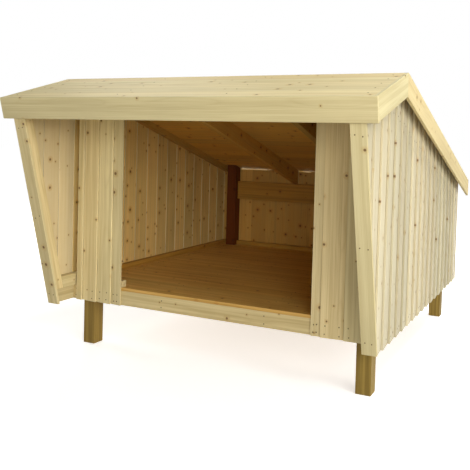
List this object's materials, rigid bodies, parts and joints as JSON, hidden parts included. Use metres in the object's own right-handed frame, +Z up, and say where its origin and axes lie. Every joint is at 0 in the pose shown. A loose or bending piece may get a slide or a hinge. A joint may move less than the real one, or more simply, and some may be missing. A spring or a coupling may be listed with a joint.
{
  "type": "open-fronted garden shelter",
  "caption": "Raised timber garden shelter on four posts, open at the front, with a board floor, lapped board walls, forward-leaning wings and an uneven pitched board roof.",
  "frame": {"origin": "on the ground, at the centre of the overall box", "axes": "+X to the right of a person who looks in at the open front, +Y towards the back, +Z up"},
  "size_m": [2.334, 2.8044, 1.784],
  "materials": {
    "cladding_boards": "sawn pressure-treated pine, pale green-yellow with small knots",
    "trim_boards": "planed pressure-treated pine boards",
    "roof_boards": "planed pine boards laid along the ridge",
    "floor_boards": "planed pine floor boards",
    "frame_timber": "planed pine battens and beams",
    "post_timber": "heavily impregnated olive-brown pine"
  },
  "bodies": {
    "root": {"barge_front_left": "trim_boards", "barge_front_right": "trim_boards", "barge_rear_left": "trim_boards", "barge_rear_right": "trim_boards", "bottom_plate_left": "frame_timber", "bottom_plate_right": "frame_timber", "edge_rafter_front_left": "frame_timber", "edge_rafter_front_right": "frame_timber", "edge_rafter_rear_left": "frame_timber", "edge_rafter_rear_right": "frame_timber", "fascia_front": "trim_boards", "floor_beam_front": "frame_timber", "floor_beam_left": "frame_timber", "floor_beam_rear": "frame_timber", "floor_beam_right": "frame_timber", "floor_boards": "floor_boards", "floor_joist_left": "frame_timber", "floor_joist_right": "frame_timber", "front_header": "frame_timber", "front_panel_left": "cladding_boards", "front_panel_right": "cladding_boards", "panel_plate_left": "frame_timber", "panel_plate_right": "frame_timber", "post_front_left": "post_timber", "post_front_right": "post_timber", "post_rear_left": "post_timber", "post_rear_right": "post_timber", "rafter_front_left": "frame_timber", "rafter_front_right": "frame_timber", "rafter_rear_left": "frame_timber", "rafter_rear_right": "frame_timber", "rear_batten": "frame_timber", "rear_plate": "frame_timber", "rear_rail": "frame_timber", "rear_wall": "cladding_boards", "roof_boards_front": "roof_boards", "roof_boards_rear": "roof_boards", "side_rail_left": "frame_timber", "side_rail_right": "frame_timber", "side_wall_left": "cladding_boards", "side_wall_right": "cladding_boards", "wing_batten_left": "frame_timber", "wing_batten_right": "frame_timber", "wing_stud_left": "frame_timber", "wing_stud_right": "frame_timber", "wing_trim_left": "trim_boards", "wing_trim_right": "trim_boards"}
  },
  "joints": []
}
